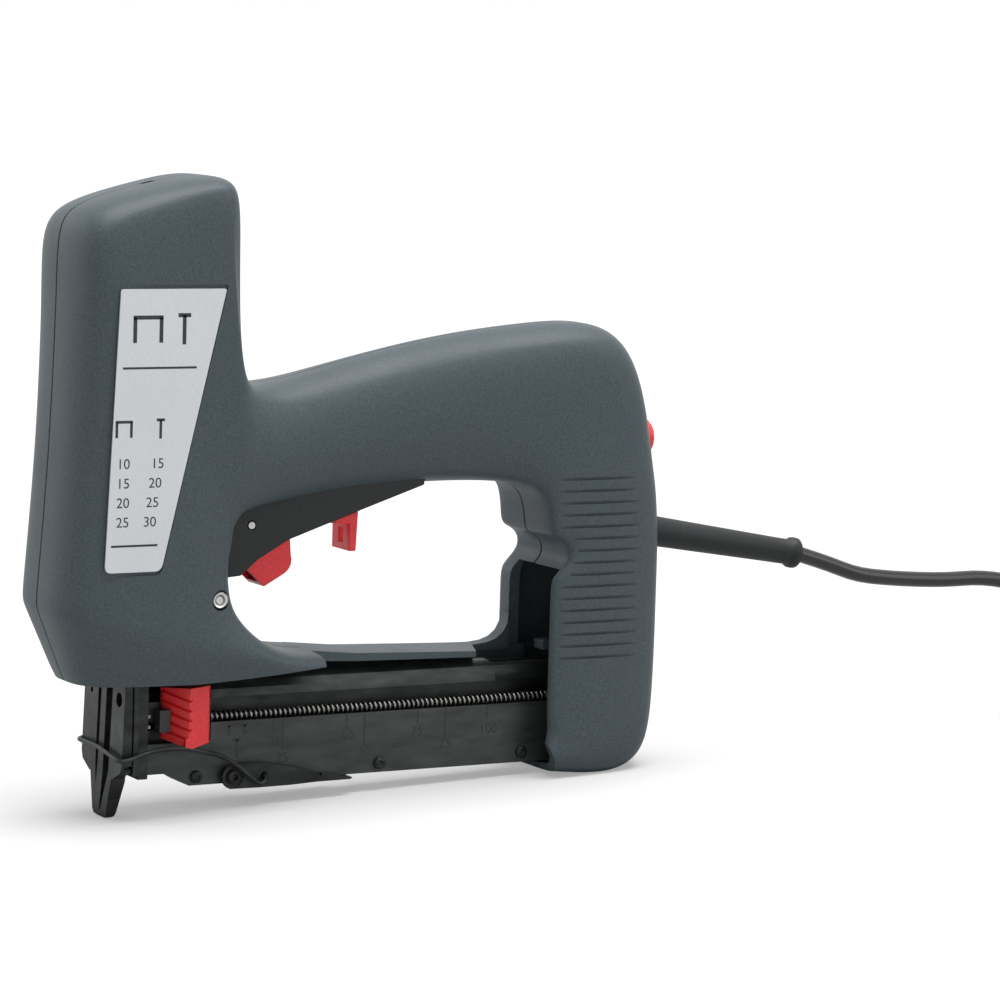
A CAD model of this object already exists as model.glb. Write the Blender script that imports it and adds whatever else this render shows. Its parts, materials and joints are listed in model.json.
"""Looks of a corded electric tacker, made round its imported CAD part.

Sizes are millimetres in the tool's own frame: origin at the middle of the nose tip, +X to the rear along the
magazine, +Y to the tool's right side and +Z up along the driver. placed() takes such points to Blender's metres.
The lead lies in the floor's frame, which has the same origin and stands upright.
"""

import json
import math

import bmesh
import bpy
import numpy as np
from bpy.props import FloatProperty, FloatVectorProperty, IntProperty, PointerProperty
from mathutils import Matrix

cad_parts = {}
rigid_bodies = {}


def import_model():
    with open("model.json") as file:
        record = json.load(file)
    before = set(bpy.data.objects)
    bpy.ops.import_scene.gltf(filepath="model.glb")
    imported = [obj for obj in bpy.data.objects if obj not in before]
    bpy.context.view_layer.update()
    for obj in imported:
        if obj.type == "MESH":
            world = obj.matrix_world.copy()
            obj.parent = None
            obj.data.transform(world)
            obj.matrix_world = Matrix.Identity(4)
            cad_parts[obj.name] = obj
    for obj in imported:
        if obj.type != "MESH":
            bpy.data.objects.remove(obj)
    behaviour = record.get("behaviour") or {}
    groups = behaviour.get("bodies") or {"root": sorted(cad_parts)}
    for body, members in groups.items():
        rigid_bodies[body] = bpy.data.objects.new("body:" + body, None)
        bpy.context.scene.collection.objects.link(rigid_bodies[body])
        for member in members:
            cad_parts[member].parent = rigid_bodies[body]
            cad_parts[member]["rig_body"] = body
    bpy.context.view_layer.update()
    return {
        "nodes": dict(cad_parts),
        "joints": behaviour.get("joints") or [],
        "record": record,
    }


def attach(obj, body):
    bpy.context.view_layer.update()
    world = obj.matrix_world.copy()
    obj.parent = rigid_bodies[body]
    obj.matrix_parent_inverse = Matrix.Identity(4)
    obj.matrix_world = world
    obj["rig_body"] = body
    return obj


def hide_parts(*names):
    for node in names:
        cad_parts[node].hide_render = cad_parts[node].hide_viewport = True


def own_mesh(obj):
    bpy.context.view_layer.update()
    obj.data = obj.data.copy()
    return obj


bl_info = {
    "name": "Electric tacker looks",
    "version": (1, 0, 0),
    "blender": (4, 5, 0),
    "location": "3D View > Sidebar > Tacker",
    "description": "Dresses the packed tacker with smooth housings, finishes, its lead and a studio",
    "category": "Object",
}

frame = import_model()

MM = 0.001
JOINTS = {joint["name"]: joint for joint in frame["joints"]}
SLOT_OF = {row["node"]: row["material_slot"] for row in frame["record"]["subparts"]}

# The tool's frame, from the axes of its feed and driver and the place of its trigger pin
TOOL_X = np.array(JOINTS["feed_slide"]["axis"])
TOOL_Z = np.array(JOINTS["driver_stroke"]["axis"])
TOOL_TURN = np.stack([TOOL_X, np.cross(TOOL_Z, TOOL_X), TOOL_Z])
TRIGGER_PIVOT = (45.5, 0.0, 95.0)
TOOL_ORIGIN = np.array(JOINTS["trigger_pull"]["pos_m"]) - MM * np.array(TRIGGER_PIVOT) @ TOOL_TURN

# Housing
WALL = 2.5
PARTING = 0.38
HEAD_FRONT = -23.5
HEAD_FLARE = -25.6
HEAD_REAR = 34.0
HEAD_TOP = 208.0
HEAD_HALF = 25.5
SKIRT_LOW = 45.5
SKIRT_TIP = 69.0
SKIRT_RISE = 3.0
HANDLE_TOP = 161.0
HANDLE_DIP = 144.5
HANDLE_HALF = 19.0
GRIP_REAR = 201.0
GRIP_HALF = 20.5
GRIP_FOOT = 3.6
OPEN_FRONT = 32.0
OPEN_REAR = 154.5
OPEN_TOP = 108.5
OPEN_LOW = 57.0
GAP = 0.3

# Magazine
MAG_LOW = 9.5
MAG_TOP = 45.2
MAG_HALF = 7.0
MAG_REAR = 182.0
MAG_FRONT = 9.6
CHANNEL_LOW = 31.4
CHANNEL_TOP = 38.2
CHANNEL_BACK = -1.0
ROD_Y = -4.4
ROD_Z = 31.7
ROD_R = 0.8
SPRING_FRONT = 33.3
SPRING_REAR = 178.0
SPRING_R = 1.45

# Lead
CORD_R = 2.8
SLEEVE_START = (190.0, 88.9)
SLEEVE_END = (264.4, 76.3)
LOOP_RUN = 110.0
LOOP_R = 28.0
LOOP_STEP = 6.4
LAYER_STEP = 6.3
LAYERS = 4
LAYER_LOOPS = 1.5
POINTS_PER_LOOP = 24
HANK_MID = 490.0
HANK_LIFT = 1.4
PLUG_RISE = 4.4

# Print
PRINT_RISE = 0.04

# Finishes: edges past SHARP degrees stay sharp, and the broad noise has BROAD_GRAIN to the metre
SHARP = 35.0
BROAD_GRAIN = 40.0
BUMP_DEPTH = 0.0002

# Camera, from the photograph's frame of 1000 by 1000 pixels
PHOTO_SIZE = 1000.0
PHOTO_FOCUS = 3950.0
NOSE_PIXEL = (106.0, 816.0)
NOSE_DISTANCE = 1286.0
VIEW_TURN = math.radians(-29.0)
VIEW_RISE = math.radians(7.6)
SENSOR = 36.0


def placed(points):
    """Tool millimetres to metres in the row's frame: turned by the lean, then moved to the nose tip."""
    return TOOL_ORIGIN + MM * np.asarray(points, float) @ TOOL_TURN


def on_floor(points):
    """Floor millimetres to metres in the row's frame: moved to the nose tip."""
    return TOOL_ORIGIN * (1, 1, 0) + MM * np.asarray(points, float)


def grid_faces(rows, cols, wrap_rows=False, wrap_cols=False):
    """Quads between neighbours of a grid, row by row, with the last row or column joined to the first if asked."""
    i = np.arange(rows if wrap_rows else rows - 1)[:, None]
    j = np.arange(cols if wrap_cols else cols - 1)[None]
    k, m = (i + 1) % rows, (j + 1) % cols
    corners = np.broadcast_arrays(i * cols + j, i * cols + m, k * cols + m, k * cols + j)
    return np.stack(corners, axis=-1).reshape(-1, 4).tolist()


def spline(rows, at):
    """Uniform cubic B-spline along the first axis: each new row blends four neighbours with the weights
    (1-t)^3, 3t^3-6t^2+4, 1+3t+3t^2-3t^3 and t^3, over 6. The ends are reflected, so it starts and ends on the
    given rows."""
    ends = np.concatenate([2 * rows[:1] - rows[1:2], rows, 2 * rows[-1:] - rows[-2:-1]])
    k = np.minimum(at.astype(int), len(rows) - 2)
    t = (at - k).reshape(-1, *[1] * (rows.ndim - 1))
    weights = ((1 - t) ** 3, 3 * t**3 - 6 * t**2 + 4, 1 + 3 * t + 3 * t**2 - 3 * t**3, t**3)
    return sum(w * ends[k + n] for n, w in enumerate(weights)) / 6


def smooth_route(points, step):
    """Catmull-Rom curve through the given points, read off at even steps along its length."""
    given = np.array(points, float)
    ends = np.vstack([2 * given[0] - given[1], given, 2 * given[-1] - given[-2]])
    t = np.linspace(0, 1, 40, endpoint=False)[None, :, None]
    a, b, c, d = (ends[n : n + len(given) - 1, None] for n in range(4))
    curve = 2 * b + (c - a) * t + (2 * a - 5 * b + 4 * c - d) * t**2 + (3 * b - 3 * c + d - a) * t**3
    fine = np.vstack([curve.reshape(-1, 3) / 2, given[-1:]])
    run = np.r_[0, np.cumsum(np.linalg.norm(np.diff(fine, axis=0), axis=1))]
    at = np.linspace(0, run[-1], max(2, round(run[-1] / step)) + 1)
    return np.stack([np.interp(at, run, fine[:, k]) for k in range(3)], axis=1)


def loft(rings):
    """Closed outlines with equal numbers of corners, each joined to the next, and capped at both ends."""
    rings = np.asarray(rings, float)
    count, corners = rings.shape[:2]
    faces = grid_faces(count, corners, wrap_cols=True)
    last = (count - 1) * corners
    faces += [list(range(corners))[::-1], list(range(last, last + corners))]
    return rings.reshape(-1, 3), faces


def wire(path, radius, up, sides=10):
    """A round wire: at each point of the path, a circle in the plane across the path, with its first
    direction square to both the path and up. Flat ends."""
    path = np.asarray(path, float)
    along = np.gradient(path, axis=0)
    along /= np.linalg.norm(along, axis=1, keepdims=True)
    across = np.cross(up, along)
    across /= np.linalg.norm(across, axis=1, keepdims=True)
    over = np.cross(along, across)
    angle = np.linspace(0, 2 * math.pi, sides, endpoint=False)[None, :, None]
    return loft(path[:, None] + radius * (np.cos(angle) * across[:, None] + np.sin(angle) * over[:, None]))


def turned(profile, start, end, steps=40):
    """A closed or axis-ended profile of (radius, height) swept round the line from start towards end:
    start + height * along + radius * (cos a * across + sin a * over)."""
    start, end = np.array(start, float), np.array(end, float)
    along = (end - start) / np.linalg.norm(end - start)
    across = np.cross(along, (0.0, 1.0, 0.0) if abs(along[1]) < 0.9 else (1.0, 0.0, 0.0))
    across /= np.linalg.norm(across)
    over = np.cross(along, across)
    radius, height = np.array(profile, float).T[:, :, None, None]
    angle = np.linspace(0, 2 * math.pi, steps, endpoint=False)[None, :, None]
    points = start + height * along + radius * (np.cos(angle) * across + np.sin(angle) * over)
    closed = profile[0][0] > 0 or profile[-1][0] > 0
    return points.reshape(-1, 3), grid_faces(len(profile), steps, wrap_rows=closed, wrap_cols=True)


def plain(radius, low, high):
    """Profile of a plain cylinder between two heights."""
    return [(0, low), (radius, low), (radius, high), (0, high)]


def mirrored(profile):
    """A profile of (radius, height) followed by its mirror image below height 0."""
    return profile + [(radius, -height) for radius, height in reversed(profile)]


def crosswise(profile, x, z, way=1):
    """A profile turned round a line across the tool, with its heights towards way."""
    return turned(profile, (x, 0, z), (x, way, z))


def prism(outline, axis, low, high):
    """A flat outline carried straight along an axis. Along Y the outline is (x, z), along X (y, z), along Z (x, y)."""
    outline = np.array(outline, float)
    order = {"X": (1, 2, 0), "Y": (0, 2, 1), "Z": (0, 1, 2)}[axis]
    points = np.empty((2, len(outline), 3))
    points[..., order[0]] = outline[:, 0]
    points[..., order[1]] = outline[:, 1]
    points[..., order[2]] = np.array([[low], [high]])
    return loft(points)


def block(x0, x1, y0, y1, z0, z1):
    """A block between two corners, as a rectangle carried along Y."""
    return prism([(x0, z0), (x1, z0), (x1, z1), (x0, z1)], "Y", y0, y1)


def gathered(*solids):
    """Several point and face lists as one."""
    points, faces, count = [], [], 0
    for some, quads in solids:
        points.append(some)
        faces += [[corner + count for corner in face] for face in quads]
        count += len(some)
    return np.vstack(points), faces


def rounded(corners, radius, steps=6):
    """An outline whose corners become arcs: each arc runs from one side's tangent point to the next,
    along the quadratic curve that the corner pulls."""
    corners = np.array(corners, float)
    before, after = np.roll(corners, 1, axis=0) - corners, np.roll(corners, -1, axis=0) - corners
    before /= np.linalg.norm(before, axis=1, keepdims=True)
    after /= np.linalg.norm(after, axis=1, keepdims=True)
    t = np.linspace(0, 1, steps + 1)[None, :, None]
    reach = np.broadcast_to(np.asarray(radius, float), len(corners))[:, None, None]
    arcs = corners[:, None] + reach * ((1 - t) ** 2 * before[:, None] + t**2 * after[:, None])
    return arcs.reshape(-1, 2)


def mesh_of(name, points, faces):
    """A mesh in metres with merged seams and poles, and faces pointing outwards."""
    mesh = bpy.data.meshes.new(name)
    mesh.from_pydata(np.asarray(points).tolist(), [], faces)
    bm = bmesh.new()
    bm.from_mesh(mesh)
    bmesh.ops.remove_doubles(bm, verts=bm.verts, dist=1e-7)
    bmesh.ops.dissolve_degenerate(bm, edges=bm.edges, dist=1e-8)
    bmesh.ops.recalc_face_normals(bm, faces=bm.faces)
    bm.to_mesh(mesh)
    bm.free()
    return mesh


def shown(data):
    """An object for a mesh, curve, lamp or camera, linked to the scene."""
    obj = bpy.data.objects.new(data.name, data)
    bpy.context.scene.collection.objects.link(obj)
    return obj


def smoothed(obj, sharp):
    """Smooth shading, with edges past an angle in degrees left sharp."""
    obj.data.shade_smooth()
    obj.data.set_sharp_from_angle(angle=math.radians(sharp))


def settled(obj):
    """Turns a piece's modifiers into its mesh, and drops the helpers that they used."""
    graph = bpy.context.evaluated_depsgraph_get()
    mesh = bpy.data.meshes.new_from_object(obj.evaluated_get(graph))
    helpers = [step.object for step in obj.modifiers if step.type == "BOOLEAN"]
    obj.modifiers.clear()
    obj.data = mesh
    mesh.name = obj.name
    for helper in helpers:
        bpy.data.objects.remove(helper)


def carve(obj, solid, operation="DIFFERENCE", place=placed):
    """A Boolean of the piece with a solid in tool millimetres."""
    points, faces = solid
    cutter = shown(mesh_of(f"cutter_{obj.name}", place(points), faces))
    cutter.hide_render = True
    step = obj.modifiers.new("carve", "BOOLEAN")
    step.object = cutter
    step.operation = operation
    step.solver = "MANIFOLD"


def dressed(obj, finish, *nodes, body=None, slot=None):
    """Gives a piece its finish, and lets it stand for CAD nodes or ride on a body."""
    obj.data.materials.clear()
    obj.data.materials.append(finish)
    if nodes:
        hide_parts(*nodes)
    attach(obj, body or frame["nodes"][nodes[0]]["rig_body"])
    return obj


def eased(obj, width, segments, sharp):
    """Rounds every edge past an angle by a width in millimetres."""
    edge = obj.modifiers.new("edge", "BEVEL")
    edge.width = width * MM
    edge.segments = segments
    edge.limit_method = "ANGLE"
    edge.angle_limit = math.radians(sharp)
    edge.harden_normals = True


def formed(obj, cuts, joins, edge, segments, sharp):
    """Cuts and joins solids in tool millimetres, then rounds the edges and shades the piece smooth."""
    for solid in joins:
        carve(obj, solid, "UNION")
    for solid in cuts:
        carve(obj, solid)
    if obj.modifiers:
        settled(obj)
    if edge:
        eased(obj, edge, segments, sharp)
    smoothed(obj, sharp)


def new_piece(name, solid, finish, *nodes, sharp=SHARP, body=None, slot=None, cuts=(), joins=(), edge=0.0):
    """A finished piece from points in tool millimetres, with solids in the same frame to cut and join."""
    points, faces = solid
    obj = shown(mesh_of(name, placed(points), faces))
    formed(obj, cuts, joins, edge, 2, sharp)
    return dressed(obj, finish, *nodes, body=body, slot=slot)


def softened(name, node, finish, width, segments=2, cuts=()):
    """A copy of a CAD node with its seams merged, its flat faces joined and its edges rounded by width."""
    mesh = frame["nodes"][node].data.copy()
    mesh.name = name
    bm = bmesh.new()
    bm.from_mesh(mesh)
    bmesh.ops.remove_doubles(bm, verts=bm.verts, dist=1e-6)
    bmesh.ops.dissolve_limit(bm, angle_limit=math.radians(0.6), verts=bm.verts, edges=bm.edges)
    bm.to_mesh(mesh)
    bm.free()
    obj = shown(mesh)
    formed(obj, cuts, (), width, segments, SHARP)
    return dressed(obj, finish, node)


def written(words, height, x, z, plane):
    """Printed figures on a plane of constant Y: a text curve made mesh, its (x, y, z) laid down as
    (x, plane - z, y) about a middle point."""
    curve = bpy.data.curves.new("print", "FONT")
    curve.body = words
    curve.size = height / 0.7
    curve.extrude = PRINT_RISE
    curve.align_x = "CENTER"
    curve.align_y = "CENTER"
    helper = shown(curve)
    graph = bpy.context.evaluated_depsgraph_get()
    mesh = bpy.data.meshes.new_from_object(helper.evaluated_get(graph))
    flat = np.empty(3 * len(mesh.vertices))
    mesh.vertices.foreach_get("co", flat)
    flat = flat.reshape(-1, 3)
    faces = [list(face.vertices) for face in mesh.polygons]
    bpy.data.objects.remove(helper)
    bpy.data.meshes.remove(mesh)
    return np.stack([x + flat[:, 0], plane - flat[:, 2], z + flat[:, 1]], axis=1), faces


def stroke(x0, z0, x1, z1, width, plane):
    """A printed bar between two points on a plane of constant Y."""
    way = np.array((x1 - x0, z1 - z0))
    side = np.array((-way[1], way[0])) * width / 2 / np.linalg.norm(way)
    a, b = np.array((x0, z0)), np.array((x1, z1))
    return prism([a + side, b + side, b - side, a - side], "Y", plane - PRINT_RISE, plane + PRINT_RISE)


def staple_sign(x, z, wide, tall, width, plane):
    """A staple's outline: a crown and two legs."""
    a, b = x - wide / 2, x + wide / 2
    legs = [stroke(k, z + tall / 2, k, z - tall / 2, width, plane) for k in (a, b)]
    return gathered(stroke(a - width / 2, z + tall / 2, b + width / 2, z + tall / 2, width, plane), *legs)


def nail_sign(x, z, wide, tall, width, plane):
    """A nail's outline: a head and a shank."""
    head = stroke(x - wide / 2, z + tall / 2, x + wide / 2, z + tall / 2, width, plane)
    return gathered(head, stroke(x, z + tall / 2, x, z - tall / 2, width, plane))


def added(nodes, kind, values=None):
    """A new shader node, with values for inputs given by name."""
    node = nodes.new(f"ShaderNode{kind}")
    for key, value in (values or {}).items():
        node.inputs[key].default_value = value
    return node


def textured(name, dark, light, grain, roughness, metallic=0.0, bump=0.0, stretch=(1, 1, 1), shine=0.5):
    """A finish from two noises on Object coordinates. A fine one, of grain per metre and stretched along the axes,
    blends the two colours and lifts the surface by bump. A broad one lets the roughness drift between two values.
    Shine is the specular level."""
    made = bpy.data.materials.new(name)
    made.use_nodes = True
    nodes, links = made.node_tree.nodes, made.node_tree.links
    shader = nodes["Principled BSDF"]
    shader.inputs["Metallic"].default_value = metallic
    shader.inputs["Specular IOR Level"].default_value = shine
    where = added(nodes, "TexCoord")
    mapping = added(nodes, "Mapping", {"Scale": stretch})
    fine = added(nodes, "TexNoise", {"Scale": grain, "Detail": 4.0})
    slow = added(nodes, "TexNoise", {"Scale": BROAD_GRAIN, "Detail": 3.0})
    ramp = added(nodes, "ValToRGB")
    for stop, position, colour in zip(ramp.color_ramp.elements, (0.32, 0.68), (dark, light)):
        stop.position = position
        stop.color = (*colour, 1)
    limits = {"From Min": 0.3, "From Max": 0.7, "To Min": roughness[0], "To Max": roughness[1]}
    drift = added(nodes, "MapRange", limits)
    links.new(where.outputs["Object"], mapping.inputs["Vector"])
    links.new(mapping.outputs["Vector"], fine.inputs["Vector"])
    links.new(where.outputs["Object"], slow.inputs["Vector"])
    links.new(fine.outputs["Fac"], ramp.inputs["Fac"])
    links.new(ramp.outputs["Color"], shader.inputs["Base Color"])
    links.new(slow.outputs["Fac"], drift.inputs["Value"])
    links.new(drift.outputs["Result"], shader.inputs["Roughness"])
    if bump:
        lift = added(nodes, "Bump", {"Strength": bump, "Distance": BUMP_DEPTH})
        links.new(fine.outputs["Fac"], lift.inputs["Height"])
        links.new(lift.outputs["Normal"], shader.inputs["Normal"])
    return made


def shade(colour, share):
    """A colour made lighter or darker by a share."""
    return tuple(min(1.0, c * share) for c in colour)


def two_tone(name, colour, dark, light, *rest, **named):
    """A finish between two shades of one colour."""
    return textured(name, shade(colour, dark), shade(colour, light), *rest, **named)


class HousingLook(bpy.types.PropertyGroup):
    """Colour and moulded detail of the two housing halves."""

    colour: FloatVectorProperty(
        name="Housing colour", description="Slate grey of the moulded halves", subtype="COLOR",
        size=3, min=0, max=1, default=(0.066, 0.086, 0.097),
    )
    groove_depth: FloatProperty(
        name="Groove depth", description="Depth of the grip's cross grooves", unit="LENGTH", default=0.9 * MM,
    )
    groove_width: FloatProperty(
        name="Groove width", description="Width of one groove at the surface", unit="LENGTH", default=1.3 * MM,
    )
    groove_pitch: FloatProperty(
        name="Groove pitch", description="Height from one groove to the next", unit="LENGTH", default=4.08 * MM,
    )
    groove_count: IntProperty(name="Grooves", description="Number of grooves on each flank", default=16, min=1)
    label_colour: FloatVectorProperty(
        name="Label colour", description="Silver of the plate on the head", subtype="COLOR",
        size=3, min=0, max=1, default=(0.55, 0.57, 0.59),
    )


class SteelLook(bpy.types.PropertyGroup):
    """Colour of the steel pieces and the feed spring's form."""

    colour: FloatVectorProperty(
        name="Black steel", description="Blackened steel of the nose, magazine and latch", subtype="COLOR",
        size=3, min=0, max=1, default=(0.026, 0.029, 0.028),
    )
    spring_curls: IntProperty(name="Spring curls", description="Turns of the feed spring", default=81, min=10)
    spring_wire: FloatProperty(
        name="Spring wire", description="Radius of the feed spring's wire", unit="LENGTH", default=0.36 * MM,
    )


class ControlLook(bpy.types.PropertyGroup):
    """Colours of the controls."""

    colour: FloatVectorProperty(
        name="Control red", description="Red of the trigger, catch, dial and feed knob", subtype="COLOR",
        size=3, min=0, max=1, default=(0.72, 0.030, 0.036),
    )
    guard_colour: FloatVectorProperty(
        name="Guard black", description="Black of the trigger guard and inner plastic", subtype="COLOR",
        size=3, min=0, max=1, default=(0.019, 0.021, 0.022),
    )


class LeadLook(bpy.types.PropertyGroup):
    """Colours of the lead and its sleeve."""

    colour: FloatVectorProperty(
        name="Lead black", description="Glossy black of the lead", subtype="COLOR",
        size=3, min=0, max=1, default=(0.012, 0.012, 0.013),
    )
    rubber: FloatVectorProperty(
        name="Rubber grey", description="Dark grey of the sleeve and the tie", subtype="COLOR",
        size=3, min=0, max=1, default=(0.020, 0.022, 0.023),
    )


class StageLook(bpy.types.PropertyGroup):
    """Floor, light and sky of the studio."""

    floor: FloatVectorProperty(
        name="Floor colour", description="Pale floor", subtype="COLOR",
        size=3, min=0, max=1, default=(0.55, 0.55, 0.55),
    )
    key: FloatProperty(name="Key light", description="Strength of the soft light from above", default=3.6, min=0)
    side: FloatProperty(name="Side lights", description="Strength of the two low lights", default=0.5, min=0)
    sky: FloatProperty(name="Sky light", description="Strength of the even light all round", default=0.2, min=0)


def look(name):
    """The scene's settings of one group."""
    return getattr(bpy.context.scene, f"tacker_{name}")


def ribs():
    """Ribs of a half shell, from the skirt tip round the head, handle and grip: outer x and z, inner x and z,
    half width, outer rounding, inner rounding, and how far the outer rounding turns from the rib in degrees."""
    front, flare, rear, top, low = HEAD_FRONT, HEAD_FLARE, HEAD_REAR, HEAD_TOP, SKIRT_LOW - 16
    head, hand, grip = HEAD_HALF, HANDLE_HALF, GRIP_HALF
    of, end, ot, ol, lip = OPEN_FRONT, OPEN_REAR, OPEN_TOP, OPEN_LOW, OPEN_TOP - 2
    back, foot, crest, dip = GRIP_REAR, GRIP_FOOT, HANDLE_TOP, HANDLE_DIP
    return np.array([
        (SKIRT_TIP + 3, low, SKIRT_TIP + 3, ol - 5, head - 5, 6, 3, 0),
        (of + 23, low, of + 23, ol - 4, head - 2, 9, 4, 0),
        (of - 6, low, of + 11, ol + 3.5, head, 12, 5, 0),
        (front + 14, low, of + 5, ol + 11, head, 13, 6, 0),
        (flare + 5.8, SKIRT_LOW + 10, of + 3.2, ol + 16, head, 13, 6, 0),
        (flare + 1.0, SKIRT_LOW + 21.9, of + 2.6, ol + 21, head, 13, 6, 0),
        (flare, SKIRT_LOW + 24.7, of + 2.4, ol + 23.5, head, 13, 6, 0),
        (flare + 0.1, SKIRT_LOW + 29.5, of + 2.4, ol + 26, head, 13, 6, 0),
        (front + 1.6, top - 88, of + 2.5, ol + 29, head, 14, 6, 0),
        (front + 3.3, top - 34, of + 2.6, ol + 31, head, 16, 6, 0),
        (front + 3.2, top - 15, of + 2.8, ol + 34, head, 15, 6, 0),
        (front + 9.5, top - 8, of + 3, ol + 36.5, head, 13, 6, 0),
        (front + 34, top - 1.8, of + 3.6, ol + 38.5, head, 11, 6, 0),
        (rear - 0.7, top + 3, of + 4.6, ol + 40.5, head, 10, 6, -37),
        (rear + 3.2, top - 7, of + 6, ol + 42.5, head, 10, 6, -75),
        (rear + 1.6, dip + 3, of + 16, lip - 5, head - 2, 10, 7, -30),
        (rear + 10.5, dip - 6.8, of + 29, lip - 3, hand + 3, 11, 8, -15),
        (rear + 46, dip + 3, of + 48, lip - 1, hand, 14, 9, 0),
        (back - 83, crest - 5, end - 44.5, lip + 0.6, hand - 0.5, 14, 9, 0),
        (back - 43, crest - 0.9, end - 16, lip + 0.4, hand, 13, 7, 0),
        (back - 21, crest - 0.6, end - 5, lip - 2, grip, 12, 4, 0),
        (back - 10.5, crest - 15, end - 2.2, ot - 10, grip, 12, 3, 0),
        (back - 5.5, crest - 36, end - 1.2, ot - 16.5, grip, 12, 2, 0),
        (back - 3.8, crest - 46, end - 0.8, ot - 20.2, grip, 12, 2, 0),
        (back - 2.6, crest - 52, end + 3, ot - 21.4, grip, 12, 2, 0),
        (back - 1.6, crest - 58, end + 6.2, ot - 25, grip, 12, 2, 0),
        (back - 0.8, crest - 66, end + 5.4, ot - 29.4, grip, 12, 2, 0),
        (back - 0.3, crest - 73, end + 1.4, ot - 33, grip, 12, 2, 0),
        (back, crest - 80, end - 0.7, ot - 35.5, grip, 12, 2, 0),
        (back, crest - 92, end - 0.7, ot - 42, grip, 12, 2, 0),
        (back, foot + 22, end - 0.7, foot + 32, grip, 12, 2, 0),
        (back - 4, foot + 6, end - 0.7, foot + 24, grip, 11, 2, 0),
        (back - 18, foot, end - 0.5, foot + 19, grip, 9, 3, 0),
        (end + 4, foot + 3, end - 1, foot + 15, grip, 7, 3, 0),
    ], float)


ROWS_PER_RIB = 12
EDGE_SHARES = (0.05, 0.09, 0.17, 0.3)
EDGE_EASE = 0.12
CREASE_X = (-27.0, 7.0, 21.0, 39.0, 57.0, 70.0)
CREASE_Z = (70.5, 60.5, 57.2, 54.7, 52.1, 50.5)
CREASE_FALL = 0.013


def cage(side, inset):
    """Control points of one half: each rib runs from the outer parting line over the flank to the parting line in
    the finger opening, drawn in by the inset."""
    rows = ribs()
    outer, inner, half = rows[:, 0:2], rows[:, 2:4], rows[:, 4] - inset
    span = np.linalg.norm(inner - outer, axis=1)
    way = (inner - outer) / span[:, None]
    cos, sin = np.cos(np.radians(rows[:, 7])), np.sin(np.radians(rows[:, 7]))
    skew = np.stack([cos * way[:, 0] - sin * way[:, 1], sin * way[:, 0] + cos * way[:, 1]], axis=1)
    first = np.minimum(rows[:, 5], 0.45 * span)
    last = np.minimum(rows[:, 6], 0.35 * span)
    o, i = outer + skew * inset, inner - way * 1.6 * inset
    edge = np.full(len(rows), PARTING)
    near, far = skew * first[:, None], way * last[:, None]
    plane = np.stack([o, o, o + 0.3 * near, o + near, i - far, i, i], axis=1)
    depth = np.stack([edge, half - first, half - 0.3 * first, half, half, half - last, edge], axis=1)
    return np.stack([plane[..., 0], side * depth, plane[..., 1]], axis=-1)


def creased(skin):
    """Draws the skirt's flank in below a line that falls from the front to the skirt tip: each half width loses a
    share that grows with the softened depth below the line, sqrt(d^2 + 1) - 1."""
    x, z = skin[..., 0], skin[..., 2]
    depth = np.maximum(0, np.interp(x, CREASE_X, CREASE_Z) - z) * (x < CREASE_X[-1] + 4)
    skin[..., 1] *= 1 - CREASE_FALL * (np.sqrt(depth**2 + 1) - 1)
    return skin


def shell_solid(side):
    """A half shell: the outer surface and a wall's depth inside it the inner one, both B-spline surfaces of the
    ribs over (place along the shell, place across it), closed by a rim round all four borders. Along the parting
    line the outer surface has a small chamfer."""
    count, across = len(ribs()), 7
    along = np.linspace(0, count - 1, (count - 1) * ROWS_PER_RIB + 1)
    shares = np.array(EDGE_SHARES)
    over = np.r_[0, shares, np.linspace(0.5, across - 1.5, 31), across - 1 - shares[::-1], across - 1]
    skins = []
    for inset in (0.0, WALL):
        rows = spline(cage(side, inset), along)
        skins.append(creased(spline(rows.transpose(1, 0, 2), over).transpose(1, 0, 2)))
    outer, inner = skins
    sunk = []
    for column in (0, -1):
        inward = inner[:, column] - outer[:, column]
        inward /= np.linalg.norm(inward, axis=1, keepdims=True)
        sunk.append((outer[:, column] + EDGE_EASE * inward)[:, None])
        outer[:, column, 1] += side * EDGE_EASE
    outer = np.concatenate([sunk[0], outer, sunk[1]], axis=1)
    inner = np.concatenate([inner[:, :1], inner, inner[:, -1:]], axis=1)
    rows, cols = outer.shape[:2]
    size = rows * cols
    faces = grid_faces(rows, cols)
    back = [[corner + size for corner in face[::-1]] for face in faces]
    index = np.arange(size).reshape(rows, cols)
    rim = np.r_[index[0, :-1], index[:-1, -1], index[-1, :0:-1], index[:0:-1, 0]]
    nxt = np.roll(rim, -1)
    walls = np.stack([rim, rim + size, nxt + size, nxt], axis=1).tolist()
    return np.concatenate([outer.reshape(-1, 3), inner.reshape(-1, 3)]), faces + back + walls


BOLTS = {
    "head_screw": (24.0, 186.0, HEAD_HALF),
    "handle_screw": (66.0, 131.0, HANDLE_HALF),
    "handle_rear_screw": (158.0, 141.0, GRIP_HALF),
    "grip_screw": (188.0, 60.0, GRIP_HALF),
    "front_bolt": (28.7, 72.8, HEAD_HALF),
}
BOLT_HEAD_R = 3.0
BOLT_SEAT = 5.0
GUARD_TOP = 111.2
GUARD_HALF = 10.0
DIAL_Z = 119.5
DIAL_R = 6.5
SLEEVE_HOLE = 5.6
LABEL_CORNERS = [(-9.0, 173.5), (27.6, 173.5), (6.5, 83.5), (-13.0, 83.5)]
LABEL_RADIUS = (0.9, 0.9, 2.4, 2.4)
LABEL_DEPTH = 0.9
GROOVE_TOP = 107.95
LABEL_WIDTH = 22.0
LABEL_LINES = ((-8.0, 17.5, 148.5), (-11.0, 5.0, 92.0))
LABEL_FIGURES = (("10", "15"), ("15", "20"), ("20", "25"), ("25", "30"))
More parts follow.
